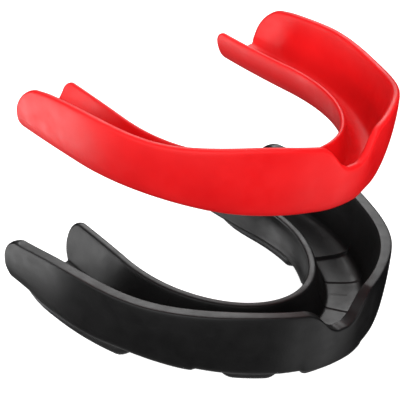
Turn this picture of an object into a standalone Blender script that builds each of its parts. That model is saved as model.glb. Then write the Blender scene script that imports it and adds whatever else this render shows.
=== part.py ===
"""Two-layer boxing mouthguard: a thick outer frame with bite pads under it, and a thin
inner liner that lowers into the frame's channel.

Both layers follow one dental arch: half an ellipse round the front teeth, then straight
arms back to the molars. Every surface is a section lofted along that arch. A section point
is an offset in from the arch and a height, and both change with the distance along the arch
from the front centre. Only the +X half is lofted, and a Mirror makes the other half.

Frame: +Z up, the front teeth face -Y, the arms run back to +Y, and the origin is at the
centre of the footprint on the surface that the pads stand on.
"""
import math

import bmesh
import bpy

MM = 0.001

# ---- driving dimensions, in millimetres ----------------------------------------------
ARCH_WIDTH = 64.0          # over the outer walls
FRONT_DEPTH = 40.1         # front centre to where the straight arms start
FRAME_ARM = 14.6           # straight part of each arm of the frame
LINER_ARM = 16.5           # straight part of each arm of the liner
LIFT = 28.1                # how far the liner is drawn up out of the frame
FIT = 0.4                  # clearance between liner and frame, each side
GAP = 0.3                  # between a bite pad and the frame it is bonded to
PAD_DEPTH = 2.0            # bite pads, below the frame's wall
FLOOR = 1.0                # frame floor, thickness
RIM = 2.3                  # frame rim, width
TONGUE_RIM = 1.6           # frame's tongue wall, width of its rim
LINER_RIM = 1.5            # liner rim, width
LINER_TONGUE_RIM = 1.1     # liner's tongue wall, width of its rim

# Height of each wall above its own underside: distance from the front centre, height.
FRAME_WALL = ((0, 8.2), (1.4, 8.25), (3.2, 9.3), (4.6, 10.8), (6.0, 12.0), (8.0, 12.8),
              (20.0, 13.2), (38.0, 11.6), (54.0, 11.3), (73.0, 8.9))
LINER_WALL = ((0, 9.0), (1.4, 9.05), (3.2, 10.1), (4.6, 11.6), (6.0, 12.9), (8.0, 13.7),
              (20.0, 14.0), (38.0, 11.5), (52.0, 11.0), (73.0, 8.7))
FRAME_TONGUE_WALL = ((0, 7.0), (25.0, 6.9), (73.0, 7.1))
LINER_TONGUE_WALL = ((0, 8.1), (25.0, 7.3), (50.0, 6.3), (73.0, 5.8))

# Channel width, outer wall to the frame's tongue wall: distance, width.
CHANNEL = ((0, 12.6), (36.0, 13.3), (73.0, 15.3))

# Floor panels of the frame: distance of the ridge at each one's front edge, and its length.
PANEL_RIDGES = ((15.8, 11.0), (27.4, 9.8), (37.8, 14.0))
PANEL_STEP = 0.5           # height of a ridge over the panel in front of it
PANEL_JOG = 0.5            # length of the drop

# The frame's underside is stepped up between these distances.
RAISED_BASE = (7.0, 27.6)
BASE_STEP = 0.3

# The outer wall's lower edge climbs towards the arm's end from here, by this much.
HEM_START = 46.0
HEM_RISE = 1.3

# Bite pads: start and end along the arch, inset of the outer edge, width of its slope, and
# how far in from the start and from the end the pad rounds off.
FRONT_PAD = (0.0, 6.4, 2.0, 1.5, 1.0, 1.0)
CANINE_PAD = (11.0, 23.0, 0.8, 3.0, 3.0, 3.0)
MOLAR_PAD = (39.6, 68.0, 1.6, 0.5, 3.0, 10.0)
PAD_DRAW = 1.3             # how much a pad draws in at its ends
PAD_TONGUE_EDGE = 1.4      # how far the pads reach past the channel on the tongue side
PAD_RINGS = 6              # rings between a pad's rounded ends
PAD_BENDS = 3              # rings in each rounded end

# Arm ends: share of a wall's height that is rounded above, on the lip side and on the
# tongue side, and below.
UPPER_ROUND = 0.65
TONGUE_ROUND = 0.35
LOWER_ROUND = 0.25
END_ZONE = 12.0            # length over which the loft bunches round the arm's end
END_RINGS = 6

HALF_WIDTH = ARCH_WIDTH / 2
ARCH_DEPTH = FRONT_DEPTH + LINER_ARM
CENTRE_Y = FRONT_DEPTH - ARCH_DEPTH / 2

BLACK_RUBBER = ("black_rubber", (0.022, 0.021, 0.022), 0.42)
PAD_RUBBER = ("pad_rubber", (0.030, 0.029, 0.030), 0.5)
RED_GEL = ("red_gel", (0.75, 0.012, 0.016), 0.38)


# ---- the arch ------------------------------------------------------------------------
def arch_table(steps=720):
    """Cumulative length along the elliptical front, for each angle step."""
    lengths = [0.0]
    for i in range(steps):
        mid = (i + 0.5) / steps * math.pi / 2
        speed = math.hypot(HALF_WIDTH * math.cos(mid), FRONT_DEPTH * math.sin(mid))
        lengths.append(lengths[-1] + speed * math.pi / 2 / steps)
    return lengths


TABLE = arch_table()
FRONT_LENGTH = TABLE[-1]
FRAME_END = FRONT_LENGTH + FRAME_ARM
LINER_END = FRONT_LENGTH + LINER_ARM
SEAT = PAD_DEPTH + FLOOR + PANEL_STEP + FIT   # liner's underside, seated


def arch_angle(distance):
    """Ellipse angle at a distance along the front, from the cumulative table."""
    low, high = 0, len(TABLE) - 1
    while high - low > 1:
        middle = (low + high) // 2
        if TABLE[middle] > distance:
            high = middle
        else:
            low = middle
    part = (distance - TABLE[low]) / (TABLE[high] - TABLE[low])
    return (low + part) / (len(TABLE) - 1) * math.pi / 2


def arch_place(distance, offset, height):
    """Point at a distance along the +X half, an offset in from the arch, and a height."""
    if distance > FRONT_LENGTH:
        x, y = HALF_WIDTH, CENTRE_Y + distance - FRONT_LENGTH
        nx, ny = -1.0, 0.0
    else:
        angle = arch_angle(max(distance, 0.0))
        x = HALF_WIDTH * math.sin(angle)
        y = CENTRE_Y - FRONT_DEPTH * math.cos(angle)
        nx, ny = -FRONT_DEPTH * math.sin(angle), HALF_WIDTH * math.cos(angle)
        size = math.hypot(nx, ny)
        nx, ny = nx / size, ny / size
    return ((x + nx * offset) * MM, (y + ny * offset) * MM, height * MM)


def along(stations, distance):
    """Smooth value between stations, level at the front centre and at the arm's end."""
    if distance <= stations[0][0]:
        return stations[0][1]
    if distance >= stations[-1][0]:
        return stations[-1][1]
    slopes = [0.0]
    for before, after in zip(stations, stations[2:]):
        slopes.append((after[1] - before[1]) / (after[0] - before[0]))
    slopes.append(0.0)
    for i, (start, end) in enumerate(zip(stations, stations[1:])):
        if distance <= end[0]:
            span = end[0] - start[0]
            t = (distance - start[0]) / span
            rise = t * t * (3 - 2 * t)
            lead = t * (1 - t) ** 2 * span * slopes[i]
            trail = t * t * (t - 1) * span * slopes[i + 1]
            return start[1] + (end[1] - start[1]) * rise + lead + trail
    return stations[-1][1]


# ---- sections ------------------------------------------------------------------------
def ramp(distance, start, length):
    """0 before a step, 1 after it."""
    return min(max((distance - start) / length, 0.0), 1.0)


def floor_height(distance):
    """Top of the frame's floor: panels that rise forwards, each ending in a small drop."""
    height = PAD_DEPTH + FLOOR
    for ridge, length in PANEL_RIDGES:
        rise = ramp(distance, ridge, PANEL_JOG) * ramp(ridge + length, distance, length)
        height += PANEL_STEP * rise
    return height


def frame_base(distance):
    """Underside of the frame's wall, a little higher over the canine teeth."""
    start, end = RAISED_BASE
    return PAD_DEPTH + BASE_STEP * ramp(distance, start, 1.0) * ramp(end, distance, 1.0)


def frame_section(distance):
    """Frame's outer skin and channel skin, both from the lip-side rim to the tongue rim."""
    base = frame_base(distance)
    hem = base + HEM_RISE * ramp(distance, HEM_START, FRAME_END - HEM_START)
    top = PAD_DEPTH + along(FRAME_WALL, distance)
    tongue = PAD_DEPTH + along(FRAME_TONGUE_WALL, distance)
    wide = along(CHANNEL, distance)
    back = wide + TONGUE_RIM
    floor = floor_height(distance)
    wall = top - floor
    low = tongue - floor
    outer = [(0.45, top), (0.1, top - 0.05), (0.0, top - 0.35), (0.0, floor + wall * 0.8),
             (0.05, floor + wall * 0.6), (0.15, floor + wall * 0.45), (0.3, floor + wall * 0.28),
             (0.55, hem + 1.3), (0.8, hem + 0.45), (1.4, hem), (wide * 0.45, base),
             (wide - 1.0, base), (back - 0.2, base), (back + 0.5, base + 0.4),
             (back + 0.3, base + 1.2), (back - 0.25, base + 2.2), (back - 0.45, tongue - 2.2),
             (back - 0.25, tongue - 1.1), (back, tongue - 0.25), (back - 0.25, tongue)]
    inner = [(RIM - 0.45, top), (RIM - 0.08, top - 0.03), (RIM + 0.03, top - 0.35),
             (RIM + 0.12, floor + wall * 0.8), (RIM + 0.45, floor + wall * 0.6),
             (RIM + 0.95, floor + wall * 0.43), (RIM + 1.5, floor + wall * 0.28),
             (RIM + 1.9, floor + 1.45), (RIM + 2.05, floor + 0.78), (RIM + 3.6, floor + 0.04),
             (wide * 0.5 + 1.8, floor), (wide - 2.7, floor), (wide - 2.3, floor + 0.1),
             (wide - 2.0, floor + low * 0.1), (wide - 1.65, floor + low * 0.2),
             (wide - 1.2, floor + low * 0.36), (wide - 0.75, floor + low * 0.56),
             (wide - 0.3, floor + low * 0.8), (wide + 0.05, tongue - 0.18),
             (wide + 0.4, tongue)]
    return outer, inner


def liner_section(distance):
    """Liner's outer skin and channel skin, at the height where it is drawn up."""
    base = SEAT + LIFT
    edge = RIM + FIT
    inside = edge + LINER_RIM
    top = base + along(LINER_WALL, distance)
    tongue = base + along(LINER_TONGUE_WALL, distance)
    wide = along(CHANNEL, distance) - FIT
    front = wide - LINER_TONGUE_RIM
    wall = top - base
    low = tongue - base
    outer = [(edge + 0.5, top), (edge + 0.12, top - 0.2), (edge, top - 0.7),
             (edge + 0.03, base + wall * 0.75), (edge + 0.35, base + wall * 0.53),
             (edge + 0.85, base + wall * 0.35), (edge + 1.4, base + wall * 0.2),
             (edge + 2.2, base + 0.85), (edge + 3.1, base + 0.2), (edge + 4.3, base),
             (wide * 0.5 + 1.6, base), (wide - 4.0, base), (wide - 2.9, base + 0.1),
             (wide - 2.1, base + 0.6), (wide - 1.4, base + 1.5), (wide - 0.5, base + low * 0.5),
             (wide - 0.1, tongue - 0.7), (wide - 0.35, tongue)]
    inner = [(inside - 0.5, top), (inside - 0.1, top - 0.25), (inside, top - 0.8),
             (inside + 0.08, base + wall * 0.77), (inside + 0.35, base + wall * 0.58),
             (inside + 0.8, base + wall * 0.42), (inside + 1.3, base + wall * 0.3),
             (inside + 1.8, base + 2.4), (inside + 2.3, base + 1.8), (inside + 3.0, base + 1.5),
             ((inside + front) / 2, base + 1.4), (front - 3.0, base + 1.5),
             (front - 2.4, base + 1.8), (front - 1.9, base + 2.4), (front - 1.3, base + 3.2),
             (front - 0.6, base + low * 0.68), (front - 0.1, tongue - 0.6), (front + 0.1, tongue)]
    return outer, inner


# ---- lofts ---------------------------------------------------------------------------
def arm_end(end, height, low, high, share):
    """Where a line of the loft ends: the arm is blunt, rounded above and below."""
    upper = (high - low) * share
    lower = (high - low) * LOWER_ROUND
    if height > high - upper:
        ratio = min((height - high + upper) / upper, 1.0)
        end -= upper * (1 - math.sqrt(1 - ratio * ratio))
    if height < low + lower:
        ratio = min((low + lower - height) / lower, 1.0)
        end -= lower * (1 - math.sqrt(1 - ratio * ratio))
    return end


def stations(end):
    """Distances of the rings before the arm's end, close at the notch and the panel steps."""
    rings = [0, 0.8, 1.8, 2.8, 3.8, 4.8, 6, 7, 8, 9.5, 11.5, 13.5]
    for ridge, _ in PANEL_RIDGES:
        rings += [ridge, ridge + PANEL_JOG]
    rings += [18, 20.5, 23, 25.3, 26.6, 30, 33, 35.6, 41, 44.5, 48, 52, 55.5]
    rings.append(end - END_ZONE)
    return sorted(rings)


def line_places(section, end, index, side):
    """Points of one lengthwise line of the loft, the last few bunched round the arm's end."""
    places = []
    for distance in stations(end):
        offset, height = section(distance)[side][index]
        places.append(arch_place(distance, offset, height))
    outer, inner = section(end)
    tongue_side = index >= len(outer) // 2
    low = min(height for _, height in outer)
    high = outer[-1][1] if tongue_side else inner[0][1]
    share = TONGUE_ROUND if tongue_side else UPPER_ROUND
    stop = arm_end(end, (outer, inner)[side][index][1], low, high, share)
    start = end - END_ZONE
    for ring in range(1, END_RINGS + 1):
        distance = start + (stop - start) * math.sin(ring / END_RINGS * math.pi / 2)
        offset, height = section(distance)[side][index]
        places.append(arch_place(distance, offset, height))
    return places


def layer_object(name, rows, material):
    """Object from rows of points: quads between rows, each end filled row to row."""
    bm = bmesh.new()
    grid = [[bm.verts.new(place) for place in row] for row in rows]
    count = len(grid)
    for i in range(count):
        near, far = grid[i], grid[(i + 1) % count]
        for k in range(len(near) - 1):
            bm.faces.new((near[k], near[k + 1], far[k + 1], far[k]))
    half = count // 2
    for i in range(half - 1):
        pair = (grid[i], grid[i + 1], grid[count - 2 - i], grid[count - 1 - i])
        bm.faces.new([row[-1] for row in reversed(pair)])
    mesh = bpy.data.meshes.new(name)
    bm.to_mesh(mesh)
    bm.free()
    piece = bpy.data.objects.new(name, mesh)
    piece.data.materials.append(material)
    parts.objects.link(piece)
    mesh.shade_smooth()
    mesh.set_sharp_from_angle(angle=math.radians(40))
    return piece


def mirrored(piece):
    """Mirror an open half in the object's middle plane."""
    mirror = piece.modifiers.new("other half", "MIRROR")
    mirror.use_axis = (True, False, False)
    mirror.merge_threshold = 0.00002


def layer(name, section, end, material):
    """One layer of the mouthguard: its half lofted along the arch, then mirrored."""
    outer, inner = section(0.0)
    rows = [line_places(section, end, i, 1) for i in range(len(inner))]
    rows += [line_places(section, end, i, 0) for i in reversed(range(len(outer)))]
    piece = layer_object(name, rows, material)
    mirrored(piece)
    return piece


def pad_section(distance, inset, slope, full):
    """Ring of a bite pad: whole where full is 1, drawn in on every side where it is 0."""
    top = frame_base(distance) - GAP
    wide = along(CHANNEL, distance) + PAD_TONGUE_EDGE
    low = (1 - full) * PAD_DRAW
    depth = top - low
    side = inset + low
    back = wide - low
    return [(side + 0.1, top), (side, top - depth * 0.2), (side + slope * 0.4, low + depth * 0.4),
            (side + slope + 0.3, low), (wide * 0.5 + 1.0, low), (back - 1.4, low),
            (back - 0.4, low + depth * 0.2), (back, low + depth * 0.5), (back - 0.2, top),
            (wide * 0.5, top)]


def pad_rings(start, end, head, tail):
    """Distances along a pad and how full it is there; its ends round off."""
    bends = [math.pi / 2 * k / PAD_BENDS for k in range(PAD_BENDS + 1)]
    rings = []
    if start > 0:
        rings = [(start + head - head * math.sin(bend), math.cos(bend) ** 2) for bend in reversed(bends)]
    else:
        rings.append((start, 1.0))
    flat = rings[-1][0]
    length = end - tail - flat
    rings += [(flat + length * k / PAD_RINGS, 1.0) for k in range(1, PAD_RINGS)]
    rings += [(end - tail + tail * math.sin(bend), math.cos(bend) ** 2) for bend in bends]
    return rings


def bite_pad(name, sizes, side, material):
    """Low pad under the frame, rounded at its ends; the front pad is a half to mirror."""
    start, end, inset, slope, head, tail = sizes
    front = start == 0.0
    rings = pad_rings(start, end, head, tail)
    rows = []
    for i in range(len(pad_section(start, inset, slope, 1.0))):
        row = []
        for distance, full in rings:
            x, y, z = arch_place(distance, *pad_section(distance, inset, slope, full)[i])
            row.append((x * side, y, z))
        rows.append(row)
    if side > 0:
        rows.reverse()
    piece = pad_object(name, rows, front, material)
    if front:
        mirrored(piece)
    return piece


def pad_object(name, rows, open_start, material):
    """Closed pad from its lengthwise rows, with a flat face on each end that is closed."""
    bm = bmesh.new()
    grid = [[bm.verts.new(place) for place in row] for row in rows]
    for near, far in zip(grid, grid[1:] + grid[:1]):
        for k in range(len(near) - 1):
            bm.faces.new((near[k], near[k + 1], far[k + 1], far[k]))
    bm.faces.new([row[-1] for row in reversed(grid)])
    if not open_start:
        bm.faces.new([row[0] for row in grid])
    mesh = bpy.data.meshes.new(name)
    bm.to_mesh(mesh)
    bm.free()
    piece = bpy.data.objects.new(name, mesh)
    piece.data.materials.append(material)
    parts.objects.link(piece)
    return piece


def rubber(name, colour, roughness):
    """Non-metal Principled material of one colour."""
    material = bpy.data.materials.new(name)
    material.use_nodes = True
    shader = material.node_tree.nodes["Principled BSDF"]
    shader.inputs["Base Color"].default_value = (*colour, 1.0)
    shader.inputs["Roughness"].default_value = roughness
    shader.inputs["Metallic"].default_value = 0.0
    return material


# ---- the object ----------------------------------------------------------------------
for old in list(bpy.data.objects):
    bpy.data.objects.remove(old, do_unlink=True)

parts = bpy.data.collections.new("mouthguard")
bpy.context.scene.collection.children.link(parts)

black = rubber(*BLACK_RUBBER)
grey = rubber(*PAD_RUBBER)
red = rubber(*RED_GEL)

layer("outer_frame", frame_section, FRAME_END, black)
layer("inner_liner", liner_section, LINER_END, red)
bite_pad("front_bite_pad", FRONT_PAD, 1, grey)
for label, side in (("left", 1), ("right", -1)):
    bite_pad(label + "_canine_pad", CANINE_PAD, side, grey)
    bite_pad(label + "_molar_pad", MOLAR_PAD, side, grey)
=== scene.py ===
"""Looks of the two-layer boxing mouthguard: red liner drawn up above its black frame.

Each layer is a smooth closed section swept along the dental arch. A section point is an
offset in from the arch and a height, in millimetres, both read at a distance along the arch
from the front centre. One half is swept, and a Mirror makes the other. The arch's size and the
two layers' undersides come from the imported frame, so the layers lie where the CAD solids lie.
"""

import math

import bmesh
import bpy
import numpy as np
from mathutils import Matrix, Vector


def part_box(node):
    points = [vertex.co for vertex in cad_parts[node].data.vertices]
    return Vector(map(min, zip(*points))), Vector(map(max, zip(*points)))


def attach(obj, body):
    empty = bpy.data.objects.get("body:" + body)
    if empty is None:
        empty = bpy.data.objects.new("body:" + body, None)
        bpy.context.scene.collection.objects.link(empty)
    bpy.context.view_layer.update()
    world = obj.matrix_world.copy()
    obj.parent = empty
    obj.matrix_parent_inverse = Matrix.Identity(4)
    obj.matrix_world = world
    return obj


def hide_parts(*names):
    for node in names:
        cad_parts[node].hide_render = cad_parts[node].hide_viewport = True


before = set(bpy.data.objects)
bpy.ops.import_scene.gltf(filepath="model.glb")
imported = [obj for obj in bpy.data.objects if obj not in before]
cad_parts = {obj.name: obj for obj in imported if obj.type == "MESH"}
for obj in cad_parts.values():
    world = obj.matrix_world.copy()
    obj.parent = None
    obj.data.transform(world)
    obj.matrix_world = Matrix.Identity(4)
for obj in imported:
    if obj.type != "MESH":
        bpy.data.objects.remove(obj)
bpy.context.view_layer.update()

MM = 0.001
MERGE = 0.00002            # points this close meet at the mirror, in metres

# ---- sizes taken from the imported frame, in millimetres -------------------------------
FRAME_LOW, FRAME_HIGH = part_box("outer_frame")
LINER_LOW, LINER_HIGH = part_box("inner_liner")
HALF_WIDTH = FRAME_HIGH.x / MM
FRONT_Y = FRAME_LOW.y / MM
FRAME_ARM = 14.6           # straight part of each arm of the frame
LINER_ARM = (LINER_HIGH.y - FRAME_HIGH.y) / MM + FRAME_ARM
FRONT_DEPTH = (FRAME_HIGH.y - FRAME_LOW.y) / MM - FRAME_ARM
CENTRE_Y = FRONT_Y + FRONT_DEPTH
WALL_BASE = FRAME_LOW.z / MM
LINER_BASE = LINER_LOW.z / MM

# RIM to LINER_TONGUE_RIM, CHANNEL, part of the wall heights and the camera are rounded from
# least-squares fits. The stations of the floor panels, the raised base and the pads began as
# points projected through the fitted camera.
FIT = 0.4                  # clearance between liner and frame
FLOOR = 1.0                # frame floor, thickness
RIM = 2.3
TONGUE_RIM = 1.6
LINER_RIM = 1.5
LINER_TONGUE_RIM = 1.1

# Height of each wall above WALL_BASE or LINER_BASE: distance from the front centre, height.
FRAME_WALL = ((0, 8.2), (1.4, 8.25), (3.2, 9.3), (4.6, 10.8), (6.0, 12.0), (8.0, 12.8),
              (20.0, 13.2), (38.0, 11.6), (54.0, 11.3), (73.0, 8.9))
LINER_WALL = ((0, 9.0), (1.4, 9.05), (3.2, 10.1), (4.6, 11.6), (6.0, 12.9), (8.0, 13.7),
              (20.0, 14.0), (38.0, 11.5), (54.0, 11.2), (64.0, 10.0), (73.0, 8.2))
FRAME_TONGUE_WALL = ((0, 7.0), (25.0, 6.9), (73.0, 7.1))
LINER_TONGUE_WALL = ((0, 8.1), (25.0, 7.3), (50.0, 6.3), (73.0, 5.8))
# Channel width, outer wall to the frame's tongue wall: distance, width.
CHANNEL = ((0, 12.6), (36.0, 13.3), (73.0, 15.3))

# Floor panels: distance of the ridge at each one's front edge, the panel's length, its drop.
PANEL_RIDGES = ((15.8, 11.0, 0.2), (27.4, 9.8, 0.24), (37.8, 14.0, 0.6))
RIDGE_DROP = 0.3           # length of the drop in front of a ridge
# Underside over the canine teeth: start, end, how much it is raised.
RAISED_BASE = (7.0, 27.6, 0.4)
RAISED_SLOPE = 0.8         # length of the step at each end
# General line of the underside: distance, height above WALL_BASE.
BASE_LINE = ((0, 0.0), (10.0, 0.0), (26.0, 0.5), (29.0, 0.35), (41.0, 0.45), (47.0, 0.1),
             (73.0, -0.7))
# Share of the walls' inward curve that is left: distance, share.
LEAN = ((0, 0.75), (20.0, 0.75), (40.0, 0.85), (73.0, 0.55))
BACK_START = 20.0          # from here to the arm's end the layers stand straighter and deeper
BACK_DIP = 0.65            # how much deeper, at the arm's end
TUCK = 0.35                # how far the walls are set in beside the front teeth
TUCK_IN = (3.0, 6.0)       # where the setting in starts, and over what length
TUCK_OUT = (14.0, 12.0)    # where it ends, and over what length
HEM_START = 46.0           # from here the outer wall's lower edge climbs to the arm's end
HEM_RISE = 1.3

# Bite pads: start, end, inset, slope, and how far in from each end the pad rounds off.
FRONT_PAD = (0.0, 6.4, 2.0, 1.5, 1.0, 1.0)
CANINE_PAD = (11.0, 23.0, 1.6, 3.0, 3.0, 3.0)
MOLAR_PAD = (39.6, 68.5, 1.6, 0.5, 3.0, 9.0)


# ---- the arch ------------------------------------------------------------------------
def arch_table(steps=2000):
    """Cumulative length along the elliptical front, for each angle."""
    angles = np.linspace(0, math.pi / 2, steps + 1)
    middles = (angles[1:] + angles[:-1]) / 2
    speed = np.hypot(HALF_WIDTH * np.cos(middles), FRONT_DEPTH * np.sin(middles))
    return angles, np.concatenate([[0], np.cumsum(speed * (angles[1] - angles[0]))])


ANGLES, LENGTHS = arch_table()
FRONT_LENGTH = LENGTHS[-1]
FRAME_END = FRONT_LENGTH + FRAME_ARM
LINER_END = FRONT_LENGTH + LINER_ARM


def arch_places(distance, offset, height):
    """Points in metres on the +X half, from arrays of distance, offset in, and height."""
    angle = np.interp(distance, LENGTHS, ANGLES)
    straight = np.maximum(distance - FRONT_LENGTH, 0)
    x = HALF_WIDTH * np.sin(angle)
    y = CENTRE_Y - FRONT_DEPTH * np.cos(angle) + straight
    nx, ny = -FRONT_DEPTH * np.sin(angle), HALF_WIDTH * np.cos(angle)
    size = np.hypot(nx, ny)
    return np.stack([x + nx / size * offset, y + ny / size * offset, height], -1) * MM


def along(stations, distance):
    """Smooth value between stations, level at the front centre and at the arm's end."""
    places = [place for place, _ in stations]
    values = [value for _, value in stations]
    distance = min(max(distance, places[0]), places[-1])
    i = min(max(np.searchsorted(places, distance) - 1, 0), len(places) - 2)
    slopes = [0.0]
    for k in range(1, len(places) - 1):
        slopes.append((values[k + 1] - values[k - 1]) / (places[k + 1] - places[k - 1]))
    slopes.append(0.0)
    span = places[i + 1] - places[i]
    t = (distance - places[i]) / span
    rise = t * t * (3 - 2 * t)
    bend = t * (1 - t) ** 2 * slopes[i] + t * t * (t - 1) * slopes[i + 1]
    return values[i] + (values[i + 1] - values[i]) * rise + bend * span


def ramp(distance, start, length):
    """0 before a step, 1 after it, eased at both ends."""
    t = min(max((distance - start) / length, 0.0), 1.0)
    return t * t * (3 - 2 * t)


# ---- sections ------------------------------------------------------------------------
def backness(distance):
    """0 in front, 1 at the arm's end."""
    return ramp(distance, BACK_START, FRAME_END - BACK_START)


def tuck(distance):
    """How far a wall is set in from the arch."""
    return TUCK * ramp(distance, *TUCK_IN) * (1 - ramp(distance, *TUCK_OUT))


def lean(distance):
    """Share of the walls' inward curve that is left at a distance."""
    return along(LEAN, distance)


def plain_floor(distance):
    """Height of the frame's floor without its panels."""
    return WALL_BASE + FLOOR - BACK_DIP * backness(distance)


def floor_height(distance):
    """Top of the frame's floor: panels that rise forwards, each ending in a small drop."""
    height = plain_floor(distance)
    for ridge, length, drop in PANEL_RIDGES:
        slope = min(max((ridge + length - distance) / length, 0.0), 1.0)
        height += drop * slope * ramp(distance, ridge, RIDGE_DROP)
    return height


def frame_base(distance):
    """Underside of the frame's wall, a little higher over the canine teeth."""
    start, end, step = RAISED_BASE
    rise = ramp(distance, start, RAISED_SLOPE)
    fall = ramp(distance, end - RAISED_SLOPE, RAISED_SLOPE)
    raised = step * rise * (1 - fall)
    return WALL_BASE + along(BASE_LINE, distance) + raised


def frame_section(distance):
    """Frame's channel skin and outer skin, both from the lip-side rim to the tongue rim."""
    base = frame_base(distance)
    hem = base + HEM_RISE * ramp(distance, HEM_START, FRAME_END - HEM_START)
    top = WALL_BASE + along(FRAME_WALL, distance)
    tongue = WALL_BASE + along(FRAME_TONGUE_WALL, distance)
    wide = along(CHANNEL, distance)
    back = wide + TONGUE_RIM
    floor = floor_height(distance)
    plain = plain_floor(distance)
    wall = top - plain
    low = tongue - floor
    inward = lean(distance)
    side = tuck(distance)
    outer = [(side + 0.45, top), (side + 0.1, top - 0.05), (side, top - 0.35),
             (side, plain + wall * 0.8), (side + 0.05, plain + wall * 0.6),
             (side + 0.15, plain + wall * 0.45), (side + 0.3, plain + wall * 0.28),
             (side + 0.55, hem + 1.3), (side + 0.8, hem + 0.45), (side + 1.4, hem),
             (wide * 0.45, base),
             (wide - 1.0, base), (back - 0.2, base), (back + 0.5, base + 0.4),
             (back + 0.3, base + 1.2), (back - 0.25, base + 2.2), (back - 0.45, tongue - 2.2),
             (back - 0.25, tongue - 1.1), (back, tongue - 0.25), (back - 0.25, tongue)]
    inner = [(RIM - 0.45, top), (RIM - 0.08, top - 0.03), (RIM + 0.03, top - 0.35),
             (RIM + 0.12, plain + wall * 0.8), (RIM + 0.45 * inward, plain + wall * 0.6),
             (RIM + 0.95 * inward, plain + wall * 0.43), (RIM + 1.5 * inward, plain + wall * 0.28),
             (RIM + 1.9 * inward, floor + 1.45), (RIM + 2.05 * inward, floor + 0.78),
             (RIM + 2.05 * inward + 1.55, floor + 0.04),
             (wide * 0.5 + 1.8, floor), (wide - 2.7, floor), (wide - 2.3, floor + 0.1),
             (wide - 2.0, floor + low * 0.1), (wide - 1.65, floor + low * 0.2),
             (wide - 1.2, floor + low * 0.36), (wide - 0.75, floor + low * 0.56),
             (wide - 0.3, floor + low * 0.8), (wide + 0.05, tongue - 0.18),
             (wide + 0.4, tongue)]
    return inner, outer


def liner_section(distance):
    """Liner's channel skin and outer skin, both from the lip-side rim to the tongue rim."""
    base = LINER_BASE - BACK_DIP * backness(distance)
    inward = lean(distance)
    edge = RIM + FIT + tuck(distance)
    inside = edge + LINER_RIM
    top = LINER_BASE + along(LINER_WALL, distance)
    tongue = LINER_BASE + along(LINER_TONGUE_WALL, distance)
    wide = along(CHANNEL, distance) - FIT
    front = wide - LINER_TONGUE_RIM
    wall = top - base
    low = tongue - base
    outer = [(edge + 0.5, top), (edge + 0.12, top - 0.2), (edge, top - 0.7),
             (edge + 0.03, base + wall * 0.75), (edge + 0.35 * inward, base + wall * 0.53),
             (edge + 0.85 * inward, base + wall * 0.35), (edge + 1.4 * inward, base + wall * 0.2),
             (edge + 2.2 * inward, base + 0.85), (edge + 3.1 * inward, base + 0.2),
             (edge + 3.1 * inward + 1.2, base),
             (wide * 0.5 + 1.6, base), (wide - 4.0, base), (wide - 2.9, base + 0.1),
             (wide - 2.1, base + 0.6), (wide - 1.4, base + 1.5), (wide - 0.5, base + low * 0.5),
             (wide - 0.1, tongue - 0.7), (wide - 0.35, tongue)]
    inner = [(inside - 0.5, top), (inside - 0.1, top - 0.25), (inside, top - 0.8),
             (inside + 0.08, base + wall * 0.77), (inside + 0.35 * inward, base + wall * 0.58),
             (inside + 0.8 * inward, base + wall * 0.42), (inside + 1.3 * inward, base + wall * 0.3),
             (inside + 1.8 * inward, base + 2.4), (inside + 2.3 * inward, base + 1.8),
             (inside + 2.3 * inward + 0.7, base + 1.5),
             ((inside + front) / 2, base + 1.4), (front - 3.0, base + 1.5),
             (front - 2.4, base + 1.8), (front - 1.9, base + 2.4), (front - 1.3, base + 3.2),
             (front - 0.6, base + low * 0.68), (front - 0.1, tongue - 0.6), (front + 0.1, tongue)]
    return inner, outer


# ---- sweeping a section along the arch -----------------------------------------------
STEPS = 4                  # points per section control point
NOTCH_ZONE = 12            # length from the front centre that has close rings
NOTCH_STEP = 0.4           # between rings there
RING_STEP = 0.8            # between rings elsewhere
RIDGE_CLEAR = 0.7          # even rings keep this far from a ridge, which has its own:
RIDGE_RINGS = (-0.6, -0.3, -0.1, 0, 0.06, 0.12, 0.18, 0.24, 0.3, 0.4, 0.6)
END_ZONE = 12.0            # length over which the lines bunch round the arm's end
END_RINGS = 26
BULLNOSE = 0.8             # rounding of the arm's end across the wall's thickness
CAP_STEPS = 8
# Shares of a wall's height that are rounded at its end: lip side, tongue side, and below.
FRAME_ROUNDS = (0.42, 0.35, 0.5)
LINER_ROUNDS = (0.72, 0.35, 0.2)


def spline_weights(count):
    """Closed cubic B-spline: one row for each point, starting mid-way over the lip rim."""
    rows = np.zeros((count * STEPS, count))
    for k in range(count * STEPS):
        place = (-0.5 + k / STEPS) % count
        i = int(place)
        t = place - i
        basis = ((1 - t) ** 3, 3 * t ** 3 - 6 * t * t + 4,
                 -3 * t ** 3 + 3 * t * t + 3 * t + 1, t ** 3)
        for step, weight in zip((-1, 0, 1, 2), basis):
            rows[k, (i + step) % count] += weight / 6
    return rows


def loop_of(section, weights, distance):
    """Smooth closed ring of (offset, height) at a distance."""
    inner, outer = section(distance)
    return weights @ np.array(inner + outer[::-1], dtype=float)


def arm_end(end, height, low, high, above, below):
    """Where a line of the sweep ends: the arm is blunt, rounded above and below."""
    upper, lower = (high - low) * above, (high - low) * below
    up = np.clip((height - high + upper) / upper, 0, 1)
    down = np.clip((low + lower - height) / lower, 0, 1)
    return end - upper * (1 - np.sqrt(1 - up ** 2)) - lower * (1 - np.sqrt(1 - down ** 2))


def ring_distances(ridges, end):
    """Distances of the rings: even, with close ones at the notch and at each ridge."""
    rings = list(np.arange(0, NOTCH_ZONE, NOTCH_STEP))
    rings += list(np.arange(NOTCH_ZONE, end - END_ZONE, RING_STEP))
    for ridge in ridges:
        rings = [ring for ring in rings if abs(ring - ridge) > RIDGE_CLEAR]
        rings += list(ridge + np.array(RIDGE_RINGS))
    return sorted(rings)


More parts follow.
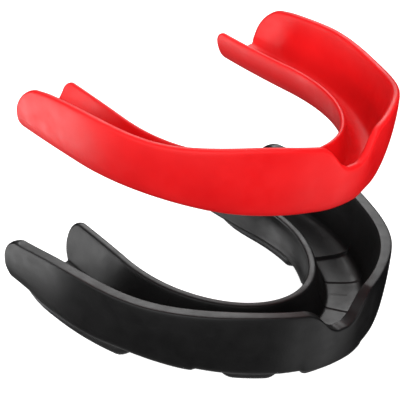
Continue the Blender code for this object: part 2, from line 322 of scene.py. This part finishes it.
def end_shape(last, end, rounds):
    """Where each line of an arm stops, and how far its end bulges past that."""
    count = len(last)
    pair = (-np.arange(count)) % count
    thick = np.linalg.norm(last - last[pair], axis=1)
    nose = np.minimum(BULLNOSE, thick / 2)
    low = last[:, 1].min()
    tongue_side = np.minimum(np.arange(count), pair) > count // 4
    high = np.where(tongue_side, last[count // 2, 1], last[0, 1])
    lip_round, tongue_round, lower_round = rounds
    above = np.where(tongue_side, tongue_round, lip_round)
    ends = arm_end(end, last[:, 1], low, high, above, lower_round)
    return (ends + ends[pair]) / 2, nose


def join_rings(bm, grid):
    """Faces between each ring of points and the next."""
    for near, far in zip(grid, grid[1:]):
        for k in range(len(near)):
            after = (k + 1) % len(near)
            bm.faces.new((near[k], far[k], far[after], near[after]))


def sweep(name, section, end, rounds, ridges, material, body, nodes):
    """One layer: its half swept along the arch, its arm's end rounded, then mirrored."""
    inner, outer = section(0.0)
    weights = spline_weights(len(inner) + len(outer))
    count = len(weights)
    rings = ring_distances(ridges, end)
    places = [arch_places(np.full(count, d), *loop_of(section, weights, d).T) for d in rings]
    ends, nose = end_shape(loop_of(section, weights, end), end, rounds)
    start = rings[-1]
    for step in range(1, END_RINGS + 1):
        share = math.sin(step / END_RINGS * math.pi / 2)
        distances = start + (ends - nose - start) * share
        loops = np.array([loop_of(section, weights, d)[k] for k, d in enumerate(distances)])
        places.append(arch_places(distances, *loops.T))
    bm = bmesh.new()
    grid = [[bm.verts.new(place) for place in ring] for ring in places]
    join_rings(bm, grid)
    close_end(bm, grid[-1], distances, loops, nose)
    finish_piece(name, bm, material, body, nodes)


def close_end(bm, rim, distances, loops, nose):
    """Rounded end face: rows of points from one skin to the other, bulging past the rim."""
    count = len(rim)
    rows = [[rim[0]] * (CAP_STEPS + 1)]
    for k in range(1, count // 2):
        other = count - k
        row = [rim[k]]
        for step in range(1, CAP_STEPS):
            t = step / CAP_STEPS
            swell = math.sin(math.pi * t)
            spread = (1 - math.cos(math.pi * t)) / 2
            distance = distances[k] * (1 - spread) + distances[other] * spread + nose[k] * swell
            offset, height = loops[k] * (1 - spread) + loops[other] * spread
            row.append(bm.verts.new(arch_places(distance, offset, height)))
        row.append(rim[other])
        rows.append(row)
    rows.append([rim[count // 2]] * (CAP_STEPS + 1))
    for near, far in zip(rows, rows[1:]):
        for step in range(CAP_STEPS):
            corners = (near[step], near[step + 1], far[step + 1], far[step])
            unique = list(dict.fromkeys(corners))
            if len(unique) > 2:
                bm.faces.new(unique)


def finish_piece(name, bm, material, body, nodes, mirror=True):
    """Object from a bmesh, shaded smooth, mirrored, and riding on its body."""
    bmesh.ops.recalc_face_normals(bm, faces=bm.faces)
    mesh = bpy.data.meshes.new(name)
    bm.to_mesh(mesh)
    bm.free()
    piece = bpy.data.objects.new(name, mesh)
    bpy.context.scene.collection.objects.link(piece)
    mesh.materials.append(material)
    if mirror:
        half = piece.modifiers.new("other half", "MIRROR")
        half.merge_threshold = MERGE
    mesh.shade_smooth()
    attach(piece, body)
    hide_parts(*nodes)


# ---- bite pads -----------------------------------------------------------------------
PAD_DRAW = 1.4             # how much a pad draws in at its ends
PAD_BENDS = 8              # rings in each rounded end
PAD_RINGS = 24             # rings between the rounded ends
PAD_POINTS = 13            # control points of a ring
PAD_TONGUE_EDGE = 1.4      # how far the pads reach past the channel on the tongue side
PAD_OVERLAP = 0.3          # how far a pad's top is sunk in the frame


def pad_ring(distance, inset, slope, full):
    """Points of a bite pad's ring: whole where full is 1, drawn in where it is 0."""
    base = frame_base(distance)
    top = base + PAD_OVERLAP
    low = (1 - full) * PAD_DRAW
    depth = base - low
    side = inset + low
    back = along(CHANNEL, distance) + PAD_TONGUE_EDGE - low
    return [(side + 0.4, top), (side, low + depth * 0.9), (side + slope * 0.1, low + depth * 0.6),
            (side + slope * 0.5, low + depth * 0.3), (side + slope * 0.9 + 0.25, low + 0.08),
            (side + slope + 1.0, low), ((side + back) / 2, low), (back - 2.2, low),
            (back - 0.6, low + 0.1), (back - 0.05, low + depth * 0.35), (back, low + depth * 0.7),
            (back - 0.4, top), ((side + back) / 2, top)]


def pad_rings(start, end, head, tail):
    """Distances along a pad and how full it is there; its ends round off."""
    bends = np.linspace(0, math.pi / 2, PAD_BENDS)
    rings = [(end - tail + tail * math.sin(bend), math.cos(bend) ** 2) for bend in bends]
    flat = start + head if start > 0 else start
    rings = [(distance, 1.0) for distance in np.linspace(flat, end - tail, PAD_RINGS)[:-1]] + rings
    if start > 0:
        first = [(start + head - head * math.sin(bend), math.cos(bend) ** 2) for bend in bends]
        rings = first[:0:-1] + rings
    return rings


def bite_pad(name, sizes, side, material):
    """Low pad under the frame with softly rounded ends."""
    start, end, inset, slope, head, tail = sizes
    weights = spline_weights(PAD_POINTS)
    bm = bmesh.new()
    grid = []
    for distance, full in pad_rings(start, end, head, tail):
        loop = weights @ np.array(pad_ring(distance, inset, slope, full))
        places = arch_places(np.full(len(loop), distance), *loop.T)
        places[:, 0] *= side
        grid.append([bm.verts.new(place) for place in places])
    join_rings(bm, grid)
    bm.faces.new(grid[-1])
    if start > 0:
        bm.faces.new(grid[0])
    finish_piece(name + "_visual", bm, material, "frame", [name], start == 0)


# ---- materials -----------------------------------------------------------------------
CLOUD_SCALE = 90           # broad clouds of colour
SOFT_SCALE = 420           # patches of gloss
GRAIN_SCALE = 2600         # moulded grain
SOFT_BUMP = 0.00002        # depth of the soft unevenness, in metres


def new_material(name):
    """Material with a Principled shader; returns it, its nodes, links and shader."""
    material = bpy.data.materials.new(name)
    material.use_nodes = True
    tree = material.node_tree
    return material, tree.nodes, tree.links, tree.nodes["Principled BSDF"]


def noise(nodes, links, scale, detail, space):
    """Noise in object space, features about 1/scale metres."""
    node = nodes.new("ShaderNodeTexNoise")
    node.inputs["Scale"].default_value = scale
    node.inputs["Detail"].default_value = detail
    links.new(space, node.inputs["Vector"])
    return node.outputs["Fac"]


def mapped(nodes, links, value, low, high, to_low, to_high):
    """Value moved from one range to another."""
    node = nodes.new("ShaderNodeMapRange")
    node.inputs["From Min"].default_value = low
    node.inputs["From Max"].default_value = high
    node.inputs["To Min"].default_value = to_low
    node.inputs["To Max"].default_value = to_high
    links.new(value, node.inputs["Value"])
    return node.outputs["Result"]


def blended(nodes, links, fac, first, second):
    """Colour between two colours."""
    node = nodes.new("ShaderNodeMix")
    node.data_type = "RGBA"
    node.inputs["A"].default_value = (*first, 1)
    node.inputs["B"].default_value = (*second, 1)
    links.new(fac, node.inputs["Factor"])
    return node.outputs["Result"]


def bumped(nodes, links, shader, heights):
    """Stack of bumps on the shader's normal: (height value, distance in metres)."""
    normal = None
    for height, distance in heights:
        node = nodes.new("ShaderNodeBump")
        node.inputs["Strength"].default_value = 1.0
        node.inputs["Distance"].default_value = distance
        links.new(height, node.inputs["Height"])
        if normal is not None:
            links.new(normal, node.inputs["Normal"])
        normal = node.outputs["Normal"]
    links.new(normal, shader.inputs["Normal"])


def moulded_rubber(name, dark, light, rough_low, rough_high, grain):
    """Satin moulded rubber: cloudy colour, patchy gloss and a fine grain."""
    material, nodes, links, shader = new_material(name)
    space = nodes.new("ShaderNodeTexCoord").outputs["Object"]
    cloud = noise(nodes, links, CLOUD_SCALE, 4, space)
    fine = noise(nodes, links, GRAIN_SCALE, 3, space)
    soft = noise(nodes, links, SOFT_SCALE, 2, space)
    colour = mapped(nodes, links, cloud, 0.35, 0.65, 0, 1)
    links.new(blended(nodes, links, colour, dark, light), shader.inputs["Base Color"])
    gloss = mapped(nodes, links, soft, 0.3, 0.7, rough_low, rough_high)
    links.new(gloss, shader.inputs["Roughness"])
    bumped(nodes, links, shader, [(soft, SOFT_BUMP), (fine, grain)])
    return material, shader


black, _ = moulded_rubber("black rubber", (0.0038, 0.0037, 0.0039), (0.0072, 0.007, 0.0072),
                          0.34, 0.44, 0.000008)
pad_black, _ = moulded_rubber("pad rubber", (0.008, 0.0078, 0.008), (0.014, 0.0136, 0.014),
                              0.42, 0.54, 0.000014)
red, red_shader = moulded_rubber("red gel", (0.70, 0.004, 0.006), (0.78, 0.008, 0.010),
                                 0.38, 0.50, 0.000006)
red_shader.inputs["Subsurface Weight"].default_value = 0.12
red_shader.inputs["Subsurface Radius"].default_value = (1.0, 0.12, 0.08)
red_shader.inputs["Subsurface Scale"].default_value = 0.0012

ridges = [ridge for ridge, _, _ in PANEL_RIDGES]
sweep("frame_visual", frame_section, FRAME_END, FRAME_ROUNDS, ridges, black,
      "frame", ["outer_frame"])
sweep("liner_visual", liner_section, LINER_END, LINER_ROUNDS, [], red,
      "liner", ["inner_liner"])
bite_pad("front_bite_pad", FRONT_PAD, 1, pad_black)
for label, side in (("left", 1), ("right", -1)):
    bite_pad(label + "_canine_pad", CANINE_PAD, side, pad_black)
    bite_pad(label + "_molar_pad", MOLAR_PAD, side, pad_black)


# ---- floor, lights and camera --------------------------------------------------------
def studio_floor():
    """Plain white floor that the object stands on."""
    mesh = bpy.data.meshes.new("floor")
    size = 3.0
    corners = [(-size, -size, 0), (size, -size, 0), (size, size, 0), (-size, size, 0)]
    mesh.from_pydata(corners, [], [(0, 1, 2, 3)])
    floor = bpy.data.objects.new("floor", mesh)
    bpy.context.scene.collection.objects.link(floor)
    material, _, _, shader = new_material("white floor")
    shader.inputs["Base Color"].default_value = (0.6, 0.6, 0.6, 1)
    shader.inputs["Roughness"].default_value = 0.9
    shader.inputs["Specular IOR Level"].default_value = 0.0
    shader.inputs["Emission Color"].default_value = (1, 1, 1, 1)
    shader.inputs["Emission Strength"].default_value = 0.9
    mesh.materials.append(material)
    floor.visible_glossy = False
    floor.visible_diffuse = False
    floor.visible_shadow = False


def soft_box(name, place, target, size, power, glossy=True):
    """Area light aimed at a point; one that isn't glossy lights without being reflected."""
    light = bpy.data.lights.new(name, "AREA")
    light.shape = "RECTANGLE"
    light.size, light.size_y = size
    light.energy = power
    lamp = bpy.data.objects.new(name, light)
    lamp.location = place
    lamp.rotation_euler = (Vector(target) - Vector(place)).to_track_quat("-Z", "Y").to_euler()
    lamp.visible_glossy = glossy
    bpy.context.scene.collection.objects.link(lamp)


# Surroundings: direction towards each soft patch of light, its inner and outer half angle
# in degrees, and its strength.
PATCHES = (
    ((0.59, 0.61, 0.53), 10, 40, 0.25),
    ((0.1, 0.6, 0.79), 5, 28, 0.7),
    ((0.0, 0.85, -0.5), 5, 22, 0.4),
    ((0.15, 0.1, -1.0), 5, 40, 0.5),
    ((-0.8, 0.55, 0.3), 8, 26, 0.6),
    ((-1.0, -0.2, 0.15), 10, 42, 0.8),
    ((-0.75, -0.5, 0.3), 10, 60, 0.5),
    ((0.38, -0.76, -0.53), 4, 30, 1.0),
)


def studio_surroundings():
    """World of soft patches of light on black, as of paper and softboxes round the object."""
    world = bpy.data.worlds.new("studio")
    world.use_nodes = True
    nodes, links = world.node_tree.nodes, world.node_tree.links
    direction = nodes.new("ShaderNodeTexCoord").outputs["Generated"]
    total = None
    for towards, inner, outer, strength in PATCHES:
        dot = nodes.new("ShaderNodeVectorMath")
        dot.operation = "DOT_PRODUCT"
        dot.inputs[1].default_value = Vector(towards).normalized()
        links.new(direction, dot.inputs[0])
        patch = nodes.new("ShaderNodeMapRange")
        patch.interpolation_type = "SMOOTHSTEP"
        patch.inputs["From Min"].default_value = math.cos(math.radians(outer))
        patch.inputs["From Max"].default_value = math.cos(math.radians(inner))
        patch.inputs["To Max"].default_value = strength
        links.new(dot.outputs["Value"], patch.inputs["Value"])
        if total is None:
            total = patch.outputs["Result"]
            continue
        add = nodes.new("ShaderNodeMath")
        links.new(total, add.inputs[0])
        links.new(patch.outputs["Result"], add.inputs[1])
        total = add.outputs["Value"]
    nodes["Background"].inputs["Color"].default_value = (1, 1, 1, 1)
    links.new(total, nodes["Background"].inputs["Strength"])
    bpy.context.scene.world = world


VIEW_AZIMUTH = math.radians(-43.78)
VIEW_ELEVATION = math.radians(31.7)
VIEW_ROLL = math.radians(5.41)
VIEW_DISTANCE = 0.34
VIEW_TARGET = (-4.32, 5.62, 19.76)
LENS = 172.6


def camera():
    """Long lens from the front right-hand side of the wearer, looking down, rolled a little."""
    azimuth, elevation = VIEW_AZIMUTH, VIEW_ELEVATION
    back = Vector((math.sin(azimuth) * math.cos(elevation),
                   -math.cos(azimuth) * math.cos(elevation), math.sin(elevation)))
    target = Vector(VIEW_TARGET) * MM
    data = bpy.data.cameras.new("camera")
    data.sensor_width = 36.0
    data.lens = LENS
    data.clip_start = 0.01
    view = bpy.data.objects.new("camera", data)
    view.rotation_mode = "QUATERNION"
    turn = (-back).to_track_quat("-Z", "Y") @ Matrix.Rotation(VIEW_ROLL, 3, "Z").to_quaternion()
    view.rotation_quaternion = turn
    view.location = target + back * VIEW_DISTANCE
    bpy.context.scene.collection.objects.link(view)
    bpy.context.scene.camera = view


MIDDLE = (0, 0, 0.02)      # near the object's middle, where the large lamps aim

studio_floor()
soft_box("back", (0.55, 0.6, 0.55), MIDDLE, (0.5, 0.5), 2.5)
soft_box("key", (-0.4, -0.78, 0.4), MIDDLE, (0.5, 0.5), 7.5, glossy=False)
soft_box("right", (0.7, -0.5, 0.2), MIDDLE, (0.5, 0.5), 4.5, glossy=False)
soft_box("top", (-0.1, -0.1, 0.9), MIDDLE, (0.6, 0.6), 4, glossy=False)
soft_box("near left", (-0.13, 0.1, 0.06), (-0.032, 0.025, 0.03), (0.05, 0.05), 0.09, glossy=False)
soft_box("low left", (-0.095, 0.125, -0.02), (-0.032, 0.035, 0.02), (0.05, 0.11), 0.07)
studio_surroundings()
camera()
bpy.context.scene.view_settings.view_transform = "Standard"
